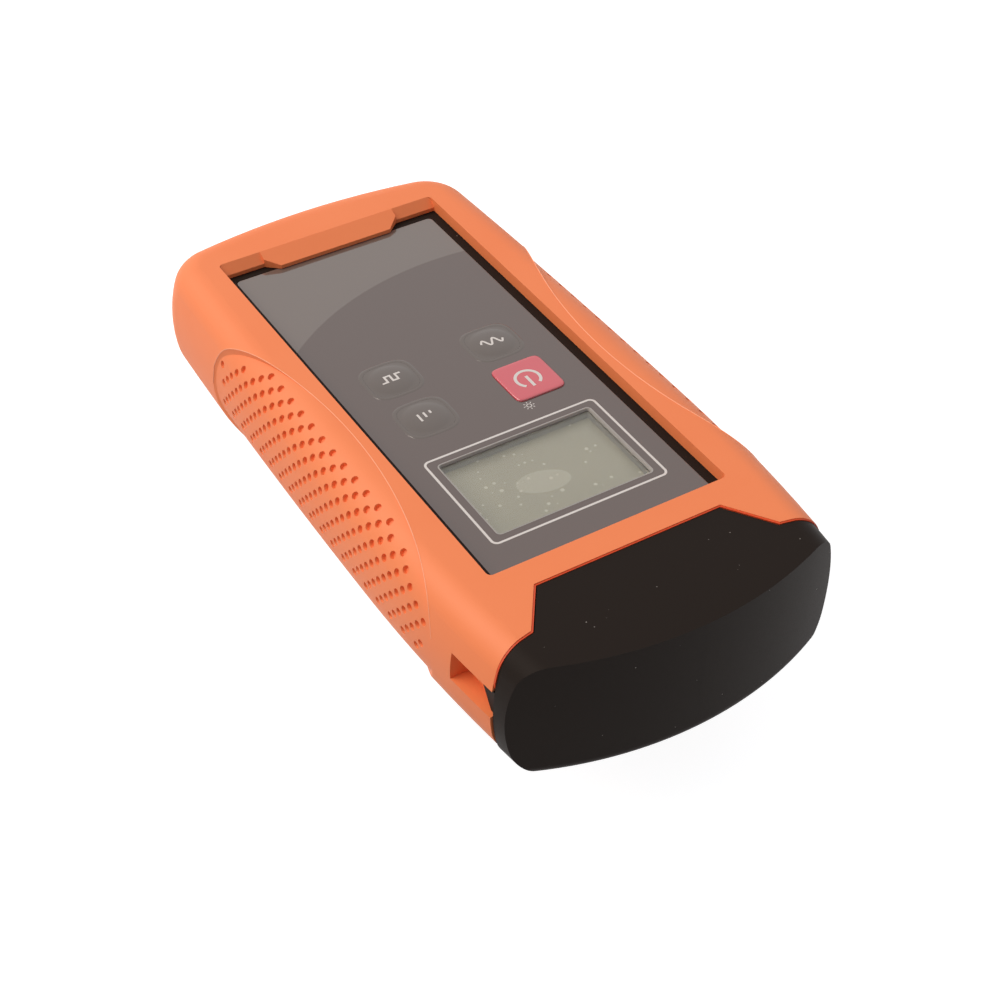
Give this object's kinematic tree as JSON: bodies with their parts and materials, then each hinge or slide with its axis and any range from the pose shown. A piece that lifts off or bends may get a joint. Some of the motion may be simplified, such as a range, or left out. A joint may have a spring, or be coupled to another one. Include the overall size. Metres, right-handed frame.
{
  "type": "handheld optical light source",
  "caption": "Handheld laser light source for fibre testing: soft boot round a keypad case with a display, push keys, battery bay and an optical port under a hinged cap.",
  "frame": {"origin": "middle of the instrument seen from above, on the plane of its back", "axes": "+X to the right of someone reading the panel, +Y along the body towards the cap and the optical port, +Z out of the panel"},
  "size_m": [0.0864, 0.1762, 0.032],
  "materials": {
    "soft_boot": "matte",
    "cap_plastic": "satin",
    "rubber": "matte",
    "case_plastic": "satin",
    "keypad_film": "satin",
    "power_key": "satin",
    "soft_key": "satin",
    "clear_window": "gloss",
    "lcd": "satin",
    "white_plastic": "satin",
    "board": "satin",
    "spring_steel": "satin",
    "steel": "satin",
    "cell": "gloss",
    "nickel": "polished",
    "ceramic": "gloss",
    "aluminium": "satin",
    "module_metal": "satin"
  },
  "bodies": {
    "case": {"boot": "soft_boot", "front_case": "case_plastic", "rear_case": "case_plastic", "battery_door": "case_plastic", "end_plate": "case_plastic", "keypad_overlay": "keypad_film", "display_window": "clear_window", "lcd_glass": "lcd", "lcd_frame": "white_plastic", "main_board": "board", "key_switches": "white_plastic", "door_screw": "steel", "hinge_pin_left": "steel", "hinge_pin_right": "steel", "battery_springs": "spring_steel", "battery_plates": "spring_steel", "battery_cell_1": "cell", "battery_cell_2": "cell", "battery_cell_3": "cell", "fibre_adapter": "nickel", "ceramic_sleeve": "ceramic", "module_saddle": "aluminium", "laser_module": "module_metal"},
    "cap": {"dust_cap": "cap_plastic", "cap_pad": "rubber"},
    "power_key": {"power_key": "power_key"},
    "wavelength_key": {"wavelength_key": "soft_key"},
    "modulation_key": {"modulation_key": "soft_key"},
    "ident_key": {"ident_key": "soft_key"}
  },
  "joints": [
    {"name": "cap_hinge", "type": "hinge", "parent": "case", "child": "cap", "pos_m": [0, 0.0707, 0.004], "axis": [-1, 0, 0], "range_deg": [0, 105]},
    {"name": "power_key_press", "type": "slide", "parent": "case", "child": "power_key", "axis": [0, 0, -1], "range_m": [0, 0.0004], "stiffness_N_per_m": 5000},
    {"name": "wavelength_key_press", "type": "slide", "parent": "case", "child": "wavelength_key", "axis": [0, 0, -1], "range_m": [0, 0.0004], "stiffness_N_per_m": 5000},
    {"name": "modulation_key_press", "type": "slide", "parent": "case", "child": "modulation_key", "axis": [0, 0, -1], "range_m": [0, 0.0004], "stiffness_N_per_m": 5000},
    {"name": "ident_key_press", "type": "slide", "parent": "case", "child": "ident_key", "axis": [0, 0, -1], "range_m": [0, 0.0004], "stiffness_N_per_m": 5000}
  ]
}
